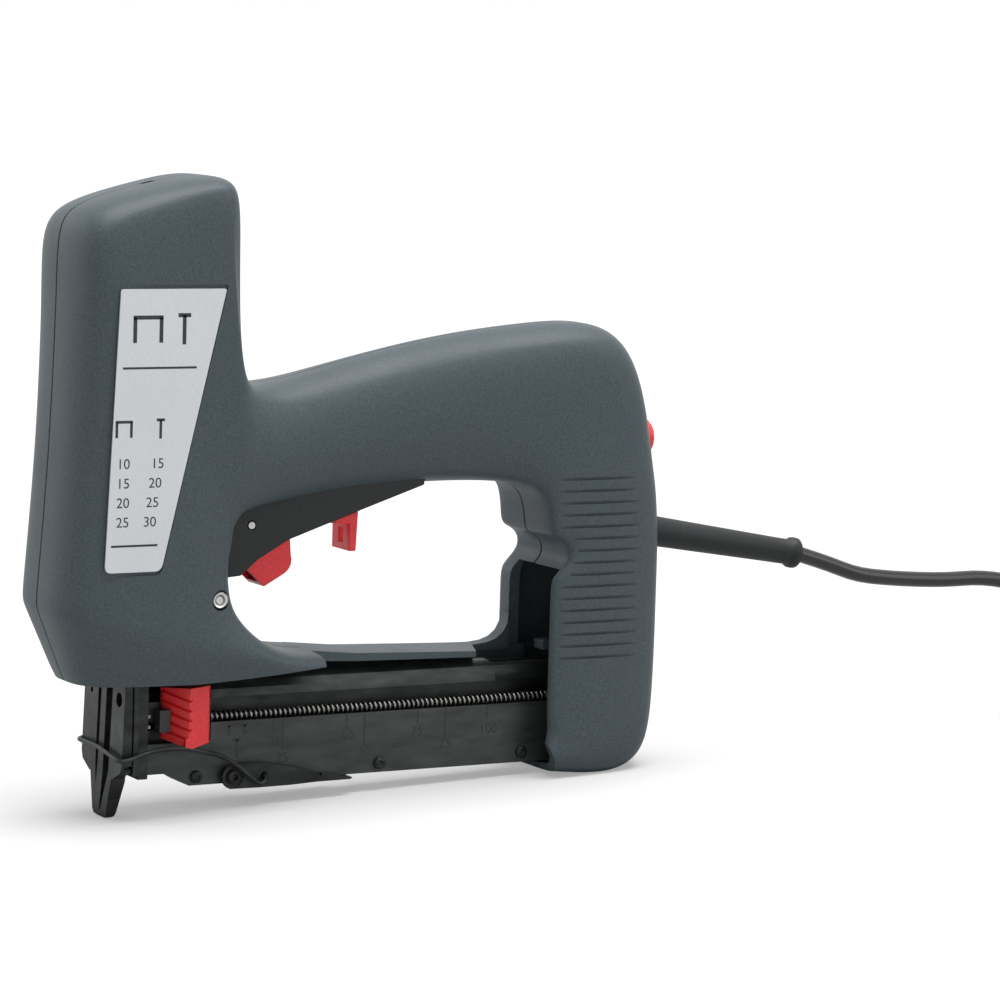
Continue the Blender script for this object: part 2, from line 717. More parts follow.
LABEL_FIGURE_TOP = 118.0
LABEL_FIGURE_PITCH = 6.2
MOUTH_TOP = 77.0
MOUTH_LEFT = -GRIP_HALF + WALL + 0.6
MOUTH_RIGHT = 10.3
GROOVE_LEFT = ((5, 152.0), (9, 159.5), (99, 155.0))
GROOVE_REAR_Z = (81.0, 88.0, 95.0, 103.0, 109.0)
GROOVE_REAR_X = (201.0, 200.7, 200.2, 199.4, 198.4)
GROOVE_ROUND = 12.0

# Blocks, as x0, x1, y0, y1, z0, z1
HEAD_SLOT = (8.4, 12.6, -1.4, 1.4, 204.7, 210.0)
MOUTH_TAB = (160.0, 165.0, -3.0, 3.0, 47.0, 50.5)
STRAP_FLANGE = (70.0, 160.0, 9.5, 14.0, 41.5, 47.6)

# Strap: x, left side, low and high of each ring, and the side outline of the rise
STRAP_RIGHT = 14.0
RISE_LEFT = 8.0
STRAP = (
    (69.4, -6, 48.4, 51.9), (87, -6, 47.5, 50.2), (114, -6, 46.9, 49.2), (132.5, -6, 46.6, 48.6),
    (138.5, 8, 46.5, 48.5), (152.8, 8, 46.2, 48.4),
)
STRAP_RISE = (
    (140.0, 47.2), (140.0, 48.5), (144.5, 49.0), (148.0, 50.2), (150.6, 52.3), (152.2, 55.2), (152.7, 59.0),
    (152.8, 47.2),
)


def guard_opening(grow):
    """Side outline of the trigger guard's place in the handle."""
    x = OPEN_FRONT
    return [
        (x - 1 - grow, 84 - grow), (x + 4, 78 - grow), (x + 10 + grow, 78.5 - grow), (x + 16 + grow, 83.5 - grow),
        (x + 27 + grow, 89.7 - grow), (x + 52, 98.2 - grow), (x + 77 + grow, 106.5 - grow),
        (x + 77 + grow, GUARD_TOP + grow), (x + 12, GUARD_TOP + grow), (x + 3 - grow, 104 + grow),
    ]


def groove_solids(side, depth, width, pitch, count):
    """Cross grooves: wedges carried along X, which start at the front with a short ramp and follow the grip's
    rounding to its rear, where the half width falls by r - sqrt(r^2 - d^2) over the last r of length."""
    solids = []
    for k in range(count):
        z = GROOVE_TOP - k * pitch
        front = next(left for limit, left in GROOVE_LEFT if k < limit)
        rear = np.interp(z, GROOVE_REAR_Z, GROOVE_REAR_X)
        turn = np.radians(np.linspace(0, 80, 9))
        x = np.r_[front, front + 1.5, rear - GROOVE_ROUND * (1 - np.sin(turn)), rear + 3]
        flank = np.r_[GRIP_HALF, GRIP_HALF, GRIP_HALF - GROOVE_ROUND * (1 - np.cos(turn)), 0]
        flank[-1] = flank[-2] - 3
        floor = side * (flank - np.r_[-0.05, np.full(len(x) - 1, depth)])
        top = side * (flank + 3)
        half = np.r_[0.1, np.full(len(x) - 1, width / 2)]
        corners = [(floor, -0.5 * half), (top, -1.9 * half), (top, 1.9 * half), (floor, 0.5 * half)]
        solids.append(loft(np.stack([np.stack([x, y, z + dz], axis=1) for y, dz in corners], axis=1)))
    return gathered(*solids)


class TACKER_OT_housing(bpy.types.Operator):
    """Makes the two smooth housing halves with their openings, grooves and bolt seats"""

    bl_idname = "tacker.housing"
    bl_label = "Housing"

    def execute(self, context):
        settings = look("housing")
        finish = two_tone(
            "slate_plastic_grain", settings.colour, 0.84, 1.2, 1500.0, (0.40, 0.50), bump=0.35, shine=0.28
        )
        for name, node, side in (("left_housing", "left_shell", -1), ("right_housing", "right_shell", 1)):
            points, faces = shell_solid(side)
            shell = shown(mesh_of(name, placed(points), faces))
            self.open_up(shell, side, settings)
            settled(shell)
            smoothed(shell, 30.0)
            dressed(shell, finish, node)
        self.strap(finish)
        new_piece("mouth_tab", block(*MOUTH_TAB), finish, body="housing", slot="slate_plastic", edge=0.5)
        self.label(settings)
        self.bolt()
        return {"FINISHED"}

    def open_up(self, shell, side, settings):
        """Cuts a half's skirt edge, its mouth and way for the magazine, the places of guard, dial, sleeve, bolts and
        label, the grip's grooves, the slot on the head and what would reach below the floor."""
        rise = SKIRT_LOW + SKIRT_RISE
        skirt = [(-60, SKIRT_LOW), (SKIRT_TIP - 46, SKIRT_LOW), (SKIRT_TIP, rise), (OPEN_REAR - 20, rise)]
        skirt += [(OPEN_REAR - 20, -15), (-60, -15)]
        carve(shell, prism(skirt, "Y", -50, 50))
        carve(shell, block(SKIRT_TIP, OPEN_REAR - 18, -50, 50, SKIRT_LOW - 3, SKIRT_LOW + 30))
        carve(shell, block(OPEN_REAR - 12, OPEN_REAR + 8, MOUTH_LEFT, MOUTH_RIGHT, MAG_LOW + 3.5, MOUTH_TOP))
        rail = MAG_HALF + 0.6
        carve(shell, block(OPEN_REAR - 12, MAG_REAR + 5, -rail, rail, MAG_LOW - 0.5, MAG_TOP + 1))
        carve(shell, prism(guard_opening(GAP), "Y", -GUARD_HALF - GAP, GUARD_HALF + GAP))
        hole = plain(DIAL_R + 0.4, 0, 40)
        carve(shell, turned(hole, (GRIP_REAR - 22, 0, DIAL_Z), (GRIP_REAR, 0, DIAL_Z)))
        (sx, sz), (ex, ez) = SLEEVE_START, SLEEVE_END
        carve(shell, turned(plain(SLEEVE_HOLE, 0, 80), (sx, 0, sz), (ex, 0, ez)))
        sizes = (settings.groove_depth, settings.groove_width, settings.groove_pitch)
        carve(shell, groove_solids(side, *(size / MM for size in sizes), settings.groove_count))
        seats = [
            crosswise(plain(BOLT_HEAD_R + 0.4, half - BOLT_SEAT, half + 4), x, z, side)
            for name, (x, z, half) in BOLTS.items()
            if side > 0 or name == "front_bolt"
        ]
        carve(shell, gathered(*seats))
        if side < 0:
            recess = rounded(LABEL_CORNERS, LABEL_RADIUS)
            middle = recess.mean(axis=0)
            recess = middle + (recess - middle) * (1 + 2 * GAP / LABEL_WIDTH)
            carve(shell, prism(recess, "Y", -HEAD_HALF - 3, -HEAD_HALF + LABEL_DEPTH))
        carve(shell, block(*HEAD_SLOT))
        carve(shell, block(-100, 400, -100, 100, -40, 0), place=on_floor)

    def strap(self, finish):
        """The bar under the finger opening: blocks along X whose height falls to the rear, with a hollow rise up
        to the grip at the far end and a flange below it on the right."""
        rings = [
            [(x, left, low), (x, STRAP_RIGHT, low), (x, STRAP_RIGHT, high), (x, left, high)]
            for x, left, low, high in STRAP
        ]
        joins = (prism(STRAP_RISE, "Y", RISE_LEFT, STRAP_RIGHT), block(*STRAP_FLANGE))
        new_piece("lower_strap", loft(rings), finish, "lower_bar", joins=joins, edge=0.5)

    def label(self, settings):
        """The silver plate on the head's left side, with plain signs, lines and figures printed on it."""
        finish = two_tone(
            "brushed_silver", settings.label_colour, 1.1, 1.3, 900.0, (0.34, 0.44), 0.55, 0.08, (1, 1, 12)
        )
        back = -HEAD_HALF + LABEL_DEPTH - GAP
        face = back - 0.5
        plate = prism(rounded(LABEL_CORNERS, LABEL_RADIUS), "Y", face, back)
        new_piece("silver_label", plate, finish, "label_plate")
        ink = textured("label_ink", (0.012, 0.013, 0.014), (0.03, 0.031, 0.033), 900.0, (0.4, 0.5))
        signs = [staple_sign(0.5, 160.5, 9, 8, 1.3, face), nail_sign(13.0, 160.5, 4.4, 9.3, 1.3, face)]
        signs += [stroke(left, z, right, z, 0.7, face) for left, right, z in LABEL_LINES]
        for k, (staple, nail) in enumerate(LABEL_FIGURES):
            z = LABEL_FIGURE_TOP - LABEL_FIGURE_PITCH * k
            signs += [written(staple, 3.2, -7.2, z, face), written(nail, 3.2, 4.6 - 0.8 * k, z, face)]
        signs += [staple_sign(-7.2, 129, 5, 5, 0.9, face), nail_sign(5.4, 129, 2.8, 6, 0.9, face)]
        new_piece("label_print", gathered(*signs), ink, body="housing", slot="black_plastic")

    def bolt(self):
        """The bright rivet head that shows on the head's left side."""
        finish = textured("bolt_steel", (0.5, 0.5, 0.49), (0.68, 0.68, 0.67), 600.0, (0.25, 0.38), 1.0)
        x, z, half = BOLTS["front_bolt"]
        seat = half - BOLT_SEAT
        top = seat + 2.4
        head = [(0, top - 0.5), (1.2, top - 0.5), (1.45, top - 1.1), (1.8, top - 0.2), (2.4, top), (2.9, top - 0.4)]
        head += [(BOLT_HEAD_R, top - 1), (BOLT_HEAD_R, seat + GAP), (1.4, seat + GAP), (1.4, 3), (0, 3)]
        new_piece("front_rivet", crosswise(head, x, z, -1), finish, "front_bolt", sharp=50)


NOSE_HALF = 16.3
NOSE_TOP = 54.0
NOSE_BACK = 1.5
PLATE_X = (2.1, 4.1)
PLATE_Y = (8.0, 16.1)
PLATE_LOW = 15.6
COVER_HOLES = ((-11.8, 40.3, 2.35), (10.4, 40.3, 1.0))
COVER_NOTCH = (-1.0, 5.0, -20.0, -14.0, 17.9, 19.1)
LATCH = (41.2, 11.9)
LATCH_HALF = 9.7
LATCH_INSIDE = 8.3
LATCH_LOBE = 4.2
LATCH_BORE = 1.8
LATCH_NICK = (72.3, 73.2, -12.0, 12.0, 10.3, 15.0)
LATCH_TAIL = (
    (50.0, 7.8), (62.0, 7.9), (71.0, 8.3), (84.2, 8.4), (84.7, 9.0), (72.0, 11.4), (66.0, 13.1), (52.0, 15.9),
    (46.0, 16.1),
)
BAIL_X = 52.1
BAIL_R = 0.8
TIP = (
    (0.1, -1.9, 0.3, 3.0), (0.7, -2.5, 0.8, 4.6), (2.2, -2.62, 1.15, 5.5), (12.4, -2.25, 2.9, 8.0),
    (17.0, -2.1, 2.9, 9.2),
)
FLUTES = (
    ((60.0, -6.8, -1.6, 1.7), (16.0, -6.0, -1.4, 1.8), (9.0, -3.2, -0.7, 1.5), (1.6, -0.3, 0.1, 0.05)),
    ((60.0, 2.4, 5.0, 1.7), (18.0, 2.8, 4.8, 1.6), (11.0, 3.5, 3.9, 0.05)),
)
BAIL = (
    (-3.3, 0.0, 22.3), (-3.3, -8.0, 21.9), (-3.2, -14.0, 21.4), (-2.6, -16.7, 21.2), (-1.0, -17.7, 21.3),
    (2.0, -17.6, 22.0), (6.0, -17.5, 23.2), (11.0, -17.4, 24.0), (17.5, -17.4, 24.2), (23.0, -17.2, 23.4),
    (28.0, -16.4, 22.0), (33.0, -14.2, 20.6), (37.5, -12.3, 18.4), (42.0, -12.1, 15.4), (46.0, -12.0, 12.0),
    (49.2, -11.9, 9.7), (50.8, -11.7, 9.8), (51.9, -11.0, 10.8), (52.1, -9.7, 11.8), (52.1, -8.6, 11.9),
)


def nose_front(z):
    """The cover's front plane, which leans forward towards the tip."""
    return 0.036 * np.asarray(z, float) - 2.7


class TACKER_OT_nose(bpy.types.Operator):
    """Makes the nose, the latch lever and its wire bail"""

    bl_idname = "tacker.nose"
    bl_label = "Nose and latch"

    def execute(self, context):
        finish = steel_finish()
        self.cover(finish)
        softened("guide_block", "nose_block", finish, 0.4)
        near, far = PLATE_Y
        sides = ((-far, -near), (near, far))
        plates = gathered(*(block(*PLATE_X, *side, PLATE_LOW, NOSE_TOP) for side in sides))
        new_piece("side_plates", plates, finish, body="housing", slot="blackened_steel", edge=0.4)
        self.latch(finish)
        route = np.array(BAIL)
        route = np.vstack([route[:0:-1], route * (1, -1, 1)])
        route[:, 2] += 0.05 * (route[:, 1] + 17.7) * np.clip(1 - route[:, 0] / 20, 0, 1)
        bail = wire(smooth_route(route, 0.8), BAIL_R, (0.0, 0.0, 1.0))
        new_piece("bail_wire", bail, finish, "wire_bail", sharp=60)
        return {"FINISHED"}

    def cover(self, finish):
        """The front cover: a leaning plate with a narrow tip, cut by two flutes, two holes and a notch."""
        half = np.array([(NOSE_HALF, NOSE_TOP), (NOSE_HALF, 19.4), (15.2, 16.8), (9.4, 14.0)])
        outline = np.vstack([half, half[::-1] * (-1, 1)])
        y, z = outline.T
        plate = loft([np.stack([x, y, z], axis=1) for x in (nose_front(z), np.full(len(z), NOSE_BACK))])
        tip = loft([[(a, -h, z), (b, -h, z), (b, h, z), (a, h, z)] for z, a, b, h in TIP])
        cuts = []
        for flute in FLUTES:
            rings = [
                [(-9, a, z), (-9, b, z), (nose_front(z) + deep, b, z), (nose_front(z) + deep, a, z)]
                for z, a, b, deep in flute
            ]
            cuts.append(loft(rings))
        for y, z, radius in COVER_HOLES:
            cuts.append(turned(plain(radius, -4, 8), (0, y, z), (1, y, z)))
        cuts.append(block(*COVER_NOTCH))
        new_piece("front_cover", plate, finish, "nose_cover", joins=(tip,), cuts=cuts, edge=0.35, sharp=30)

    def latch(self, finish):
        """The toggle lever, hollow between its cheeks, and the hollow pin on which it turns."""
        angle = np.radians(np.linspace(80, 250, 15))
        lobe = np.array(LATCH) + LATCH_LOBE * np.stack([np.cos(angle), np.sin(angle)], axis=1)
        inside = (-LATCH_INSIDE, LATCH_INSIDE)
        ring = [(2.6, LATCH_HALF - 0.5), (3.4, LATCH_HALF - 0.5), (3.4, 14), (2.6, 14)]
        cuts = [
            block(30, 95, *inside, MAG_LOW - 0.4, 40),
            block(30, 60, *inside, 0, 40),
            crosswise(plain(LATCH_BORE, -20, 20), *LATCH),
            crosswise(plain(BAIL_R + 0.35, -20, 20), BAIL_X, LATCH[1]),
            block(*LATCH_NICK),
            crosswise(ring, *LATCH, -1),
        ]
        lever = prism(np.vstack([lobe, LATCH_TAIL]), "Y", -LATCH_HALF, LATCH_HALF)
        new_piece("toggle_lever", lever, finish, "latch_lever", cuts=cuts, edge=0.25, sharp=30)
        end = LATCH_HALF + 1.0
        side = [(0, end - 1.5), (1.1, end - 1.5), (1.1, end), (2.1, end), (2.4, end - 0.3)]
        side += [(2.4, end - 0.7), (1.5, end - 0.7)]
        new_piece("hollow_pin", crosswise(mirrored(side), *LATCH), finish, "latch_pin", sharp=50)


def steel_finish():
    """Blackened steel with streaks along X, shared by the nose, magazine and latch."""
    made = bpy.data.materials.get("black_steel_worn")
    if made is None:
        made = two_tone(
            "black_steel_worn", look("steel").colour, 0.75, 1.7, 260.0, (0.30, 0.48),
            metallic=0.55, bump=0.10, stretch=(0.35, 1, 1), shine=0.3,
        )
    return made


RAIL_STEP = 139.8
CUT_REAR = 184.0
RAIL_END = ((RAIL_STEP, 43.8), (139.2, 44.6), (138.0, 45.4), (138.0, 50.0), (CUT_REAR, 50.0), (CUT_REAR, 43.8))
CHANNEL_FRONT = 33.7
ROD_FRONT = 9.8
ROD_LENGTH = 168.0
PUSHER_FOOT = (12.8, 16.6)
BAR_X = (9.7, 11.7)
BAR_Y = (-8.2, -7.05)
BAR_Z = ((32.8, 34.0), (29.4, 30.6))
MARK_TOP = 29.8
MARK_WIDTH = 0.55
RIVETS = ((28.5, 12.4), (96.0, 12.6), (150.5, 13.0))
UPPER_LINES = (56.5, 83.5, 110.3, 136.9)
LOWER_LINES = (59.8, 90.2, 120.7)
FIGURES = (
    ("25", 57.1, 22.1), ("25", 59.8, 16.6), ("50", 83.7, 22.2), ("50", 90.6, 17.0), ("75", 110.1, 22.6),
    ("75", 121.0, 17.5), ("100", 137.5, 21.6),
)


def coil(start, end, radius, curls, wire_radius, axis, middle):
    """A wire coil from start to end along axis 0 (X) or 2 (Z): middle + run along + r (cos t across + sin t over),
    with whole curls of t and the run even in t."""
    t = np.linspace(0, 1, curls * 14 + 1)[:, None]
    turn = 2 * math.pi * curls * t
    run = start + wire_radius + (end - start - 2 * wire_radius) * t
    along, across, over = np.roll(np.eye(3), -axis, axis=0)
    path = np.array(middle) + run * along + radius * (np.cos(turn) * across + np.sin(turn) * over)
    return wire(path, wire_radius, along, 6)


class TACKER_OT_magazine(bpy.types.Operator):
    """Makes the magazine with its scale, rivets, feed spring, rod and pusher"""

    bl_idname = "tacker.magazine"
    bl_label = "Magazine"

    def execute(self, context):
        finish = steel_finish()
        settings = look("steel")
        cuts = [
            prism(RAIL_END, "Y", -30, 30),
            block(RAIL_STEP, CUT_REAR, -30, -MAG_HALF + 0.9, CHANNEL_TOP - 1, 50),
            block(CHANNEL_FRONT, CUT_REAR, -30, CHANNEL_BACK - 0.05, CHANNEL_LOW - 1.3, CHANNEL_TOP + 0.05),
        ]
        rail = softened("staple_rail", "magazine_rail", finish, 0.25, cuts=cuts)
        self.pale_flank(rail)
        seat = MAG_HALF + GAP
        side = [(0, seat + 0.7), (0.8, seat + 0.75), (1.0, seat + 1.1), (1.5, seat + 1.1), (2.0, seat + 0.6)]
        side += [(2.1, seat), (1.2, seat)]
        for k, (x, z) in enumerate(RIVETS, 1):
            new_piece(f"rivet_{k}", crosswise(mirrored(side), x, z), finish, f"magazine_rivet_{k}", sharp=50)
        rod = turned(plain(ROD_R, 0, ROD_LENGTH), (ROD_FRONT, ROD_Y, ROD_Z), (ROD_FRONT + 1, ROD_Y, ROD_Z), 20)
        new_piece("spring_rod", rod, finish, "guide_rod", sharp=50)
        self.pusher()
        bright = textured("spring_wire", (0.16, 0.16, 0.15), (0.36, 0.36, 0.34), 700.0, (0.3, 0.45), 0.9)
        thick = settings.spring_wire / MM
        turns = coil(SPRING_FRONT, SPRING_REAR, SPRING_R, settings.spring_curls, thick, 0, (0, ROD_Y, ROD_Z))
        spring = new_piece("feed_spring", turns, bright, "pusher_spring", sharp=60)
        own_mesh(spring)
        self.scale()
        return {"FINISHED"}

    def pale_flank(self, rail):
        """Gives the faces below the spring channel a paler steel."""
        pale = two_tone(
            "flank_steel", shade(look("steel").colour, 2.1), 0.8, 1.3, 240.0, (0.34, 0.5),
            metallic=0.45, bump=0.08, stretch=(0.3, 1, 1), shine=0.3,
        )
        rail.data.materials.append(pale)
        middle = np.empty(3 * len(rail.data.polygons))
        rail.data.polygons.foreach_get("center", middle)
        height = (middle.reshape(-1, 3) - TOOL_ORIGIN) @ TOOL_Z / MM
        rail.data.polygons.foreach_set("material_index", (height < CHANNEL_LOW - 1.35).astype(np.int32))

    def pusher(self):
        """The black pusher in the spring channel, with the foot that carries the knob, and two bright bars."""
        dark = two_tone(
            "pusher_black", look("controls").guard_colour, 0.8, 1.3, 1400.0, (0.38, 0.5), bump=0.2
        )
        low, high = CHANNEL_LOW + GAP, CHANNEL_TOP - GAP
        body = block(MAG_FRONT + 0.4, SPRING_FRONT - GAP, -MAG_HALF, CHANNEL_BACK - GAP, low, high)
        slot = block(0, 60, ROD_Y - ROD_R - 0.5, ROD_Y + ROD_R + 0.5, 20, ROD_Z + ROD_R + 0.5)
        foot = block(*PUSHER_FOOT, -12.6, -MAG_HALF - 0.15, CHANNEL_LOW - 2.6, CHANNEL_TOP - 2.2)
        neck = block(*PUSHER_FOOT, -MAG_HALF - 1, -MAG_HALF + 1, CHANNEL_LOW + 2 * GAP, CHANNEL_TOP - 2.2)
        new_piece("staple_pusher", body, dark, "pusher", joins=(neck, foot), cuts=(slot,), edge=0.3)
        pale = textured("pusher_steel", (0.42, 0.42, 0.41), (0.6, 0.6, 0.59), 500.0, (0.3, 0.4), 0.9)
        bars = gathered(*(block(*BAR_X, *BAR_Y, *heights) for heights in BAR_Z))
        new_piece("pusher_bars", bars, pale, body="feeder", slot="bright_steel", edge=0.2)

    def scale(self):
        """Marks of the staples and nails that are left, on the magazine's left flank."""
        ink = textured("scale_ink", (0.008, 0.008, 0.009), (0.02, 0.02, 0.021), 900.0, (0.4, 0.5))
        plane = -MAG_HALF
        marks = [stroke(x, MARK_TOP, x, 25.2, MARK_WIDTH, plane) for x in UPPER_LINES]
        marks += [stroke(x, MARK_TOP, x, 19.4, MARK_WIDTH, plane) for x in LOWER_LINES]
        marks += [written(words, 3.3, x, z, plane) for words, x, z in FIGURES]
        marks += [staple_sign(43.1, 26.9, 5.6, 3.3, 0.9, plane), nail_sign(43.2, 20.8, 3.0, 6.0, 0.9, plane)]
        new_piece("staple_scale", gathered(*marks), ink, body="housing", slot="black_plastic")


KNOB_INNER = -7.3
KNOB_OUT = -18.0
KNOB_LOW = 25.6
KNOB_PITCH = 3.2
KNOB_TEETH = 5
KNOB_TOOTH = ((1.9, 0.0), (2.3, 1.0), (2.9, 1.0), (3.2, 0.0))
KNOB_X = (15.2, 15.2, 20.8, 27.6, 28.4, 28.4)
KNOB_STEP = (0.0, 1.1, 1.1, 0.0, 0.0, 0.0)
KNOB_TILT = (0.6, 0.6, -2.0, 0.0, 0.0, 0.0)
KNOB_LIP = ((19.8, 27.5), (19.6, 24.2), (20.3, 23.6), (22.0, 23.6), (22.6, 24.3), (23.4, 27.5))


def knob_solid():
    """The feed knob: plan outlines stacked by height, whose slanted front face steps back in every groove."""
    base = KNOB_LOW + 0.6
    teeth = [np.array(KNOB_TOOTH) + (base + k * KNOB_PITCH, 0) for k in range(KNOB_TEETH)]
    levels = np.vstack([[(KNOB_LOW, 0.5), (base, 0)], *teeth, [(base + KNOB_TEETH * KNOB_PITCH + 0.6, 0.3)]])
    z, back = levels.T[:, :, None]
    x = np.array(KNOB_X) + back * np.array(KNOB_STEP)
    y = np.broadcast_to([KNOB_INNER, -9.4, KNOB_OUT, KNOB_OUT, KNOB_OUT + 0.8, KNOB_INNER], x.shape)
    tilt = np.array(KNOB_TILT) * (z < z.max())
    rise = np.where(z == z.max(), 0.1 * (x - 13), 0)
    return loft(np.stack([x, y, z + rise + tilt], axis=-1))


class TACKER_OT_controls(bpy.types.Operator):
    """Makes the trigger guard, trigger, catch, feed knob and dial"""

    bl_idname = "tacker.controls"
    bl_label = "Controls"

    def execute(self, context):
        settings = look("controls")
        finish = two_tone("control_red", settings.colour, 1.08, 1.3, 900.0, (0.30, 0.40), bump=0.06)
        dark = two_tone("guard_black", settings.guard_colour, 0.8, 1.3, 1400.0, (0.38, 0.5), bump=0.2, shine=0.3)
        softened("finger_trigger", "trigger", finish, 0.6, 3)
        softened("catch_tab", "safety_catch", finish, 0.4)
        lip = prism(KNOB_LIP, "Y", KNOB_OUT, KNOB_OUT + 1.5)
        new_piece("feed_knob", knob_solid(), finish, "slider_knob", joins=(lip,), edge=0.25, sharp=25)
        softened("setting_dial", "power_dial", finish, 0.4)
        softened("finger_guard", "trigger_guard", dark, 0.6)
        return {"FINISHED"}


def hank_route():
    """Long loops that spiral in and out again, one layer each way. Every change of layer climbs along a run,
    and the last half loop goes up over the hank to the plug."""
    first = LAYER_LOOPS + 0.125
    starts = first + LAYER_LOOPS * np.arange(LAYERS)
    turn = np.arange(int((starts[-1] + 0.375) * POINTS_PER_LOOP) + 1) / POINTS_PER_LOOP
    layer = np.clip((turn[:, None] - starts + 0.125) / 0.25, 0, 1).sum(axis=1)
    swing = (turn - first) / LAYER_LOOPS
    share = np.where(turn >= first, np.abs((swing + 1) % 2 - 1), (first - turn) / first)
    inward = np.where(turn < first, first, LAYER_LOOPS)
    last = np.maximum(0, turn - starts[-1] - 0.125) / 0.25
    radius = LOOP_R - LOOP_STEP * (first - inward * share) - 9.0 * last
    height = HANK_LIFT + CORD_R + LAYER_STEP * layer + PLUG_RISE * last
    x, y = stadium(turn, radius)
    points = np.stack([x, y, height], axis=1)
    return np.vstack([points, points[-1] - (2 * CORD_R, 0, 0)])


def stadium(turn, radius):
    """Places along a loop: a run, a round end, a run back and a round end, a quarter of the turn each."""
    u, run = turn % 1.0, LOOP_RUN / 2
    straight = LOOP_RUN * (u % 0.5) / 0.25
    angle = math.pi * (u % 0.25) / 0.25 - math.pi / 2
    quarter = (u * 4).astype(int)
    out, over = radius * np.cos(angle), radius * np.sin(angle)
    x = np.choose(quarter, [straight - run, run + out, run - straight, -run - out])
    y = np.choose(quarter, [-radius, over, radius, -over])
    return HANK_MID + x, y


def floor_point(x, z):
    """A point of the tool's middle plane, in floor millimetres."""
    return (placed((x, 0, z)) - TOOL_ORIGIN * (1, 1, 0)) / MM


LEAD_WAY = ((289, 0, 58.8), (311, 0, 55.0), (334, 0, 52.9), (357, 0, 51.6), (379, -9, 41.0), (398, -20.5, 24.5))


class TACKER_OT_lead(bpy.types.Operator):
    """Makes the lead at its real length, its sleeve, tie and plug"""

    bl_idname = "tacker.lead"
    bl_label = "Lead"

    def execute(self, context):
        settings = look("lead")
        gloss = two_tone("glossy_sheath", settings.colour, 0.85, 1.3, 500.0, (0.18, 0.28), bump=0.03)
        rubber = two_tone("sleeve_rubber", settings.rubber, 0.85, 1.25, 1300.0, (0.45, 0.6), bump=0.15, shine=0.25)
        loops = hank_route()
        start, end = floor_point(*SLEEVE_START), floor_point(*SLEEVE_END)
        way = (end - start) / np.linalg.norm(end - start)
        first = end + way * GAP
        entry = loops[0] - (GAP, 0, 0)
        route = [first, first + 8 * way, *LEAD_WAY]
        route += [entry + (-18, -1.0, 2.4), entry - (2 * CORD_R, 0, 0), entry]
        points = np.vstack([smooth_route(route, 5 * CORD_R), loops[1:]])
        curve = bpy.data.curves.new("mains_lead", "CURVE")
        curve.dimensions = "3D"
        curve.bevel_depth = CORD_R * MM
        curve.bevel_resolution = 4
        curve.use_fill_caps = True
        line = curve.splines.new("NURBS")
        line.points.add(len(points) - 1)
        line.points.foreach_set("co", np.c_[on_floor(points), np.ones(len(points))].ravel())
        line.order_u = 3
        line.use_endpoint_u = True
        curve.resolution_u = 3
        lead = shown(curve)
        dressed(lead, gloss, "cord_lead", "cord_hank")
        self.sleeve(rubber)
        plug = softened("mains_plug", "plug_body", rubber, 0.8, 3)
        tie = softened("lead_tie", "cord_tie", rubber, 0.3)
        pins = textured("plug_pin_metal", (0.55, 0.52, 0.45), (0.72, 0.70, 0.64), 600.0, (0.25, 0.35), 1.0)
        for node in ("plug_pin_left", "plug_pin_right"):
            frame["nodes"][node].data.materials.clear()
            frame["nodes"][node].data.materials.append(pins)
        return {"FINISHED"}

    def sleeve(self, rubber):
        """The tapered sleeve round the lead, with a collar at its outer end."""
        (sx, sz), (ex, ez) = SLEEVE_START, SLEEVE_END
        length = math.hypot(ex - sx, ez - sz)
        bore = CORD_R + GAP
        profile = [(bore, length), (4.9, length), (5.4, length - 0.5), (5.5, length - 1.6), (5.4, length - 2.8)]
        profile += [(4.9, length - 3.6), (4.5, length - 4.4), (4.55, length - 12), (5.3, 12), (5.3, 0), (bore, 0)]
        new_piece("kink_sleeve", turned(profile, (sx, 0, sz), (ex, 0, ez)), rubber, "cord_sleeve", sharp=50)


PLUNGER_X = 4.9
PLUNGER_SPRING = (128.3, 185.7)
PLUNGER_SPRING_R = 8.7
PLUNGER_CURLS = 6
PLUNGER_WIRE = 0.6
BOARD_TRIM = ((60, 138.5), (82, 142.5), (110, 150), (110, 160), (60, 160))


class TACKER_OT_inside(bpy.types.Operator):
    """Gives every CAD node that still shows a finish of its own kind"""

    bl_idname = "tacker.inside"
    bl_label = "Inner pieces"

    def execute(self, context):
        black = look("controls").guard_colour
        finishes = {
            "black_plastic": two_tone("inner_black", black, 0.8, 1.3, 1200.0, (0.4, 0.5), bump=0.1),
            "blackened_steel": steel_finish(),
            "bright_steel": textured(
                "bright_steel_worn", (0.42, 0.42, 0.41), (0.62, 0.62, 0.61), 500.0, (0.25, 0.4), 1.0
            ),
            "copper_winding": textured("copper_wire", (0.45, 0.18, 0.07), (0.65, 0.28, 0.11), 900.0, (0.3, 0.45), 1.0),
            "soft_rubber": textured("inner_rubber", (0.02, 0.02, 0.022), (0.035, 0.035, 0.037), 900.0, (0.6, 0.7)),
            "board": textured("board_green", (0.015, 0.11, 0.045), (0.025, 0.17, 0.07), 700.0, (0.4, 0.5)),
        }
        low, high = PLUNGER_SPRING
        turns = coil(low, high, PLUNGER_SPRING_R, PLUNGER_CURLS, PLUNGER_WIRE, 2, (PLUNGER_X, 0, 0))
        spring = new_piece("plunger_spring", turns, finishes["bright_steel"], "return_spring", sharp=60)
        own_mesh(spring)
        above = prism(BOARD_TRIM, "Y", -5, 10)
        softened("control_board", "circuit_board", finishes["board"], 0.2, cuts=(above,))
        for name, node in frame["nodes"].items():
            finish = finishes.get(SLOT_OF[name])
            if finish and not node.hide_render:
                node.data.materials.clear()
                node.data.materials.append(finish)
        return {"FINISHED"}


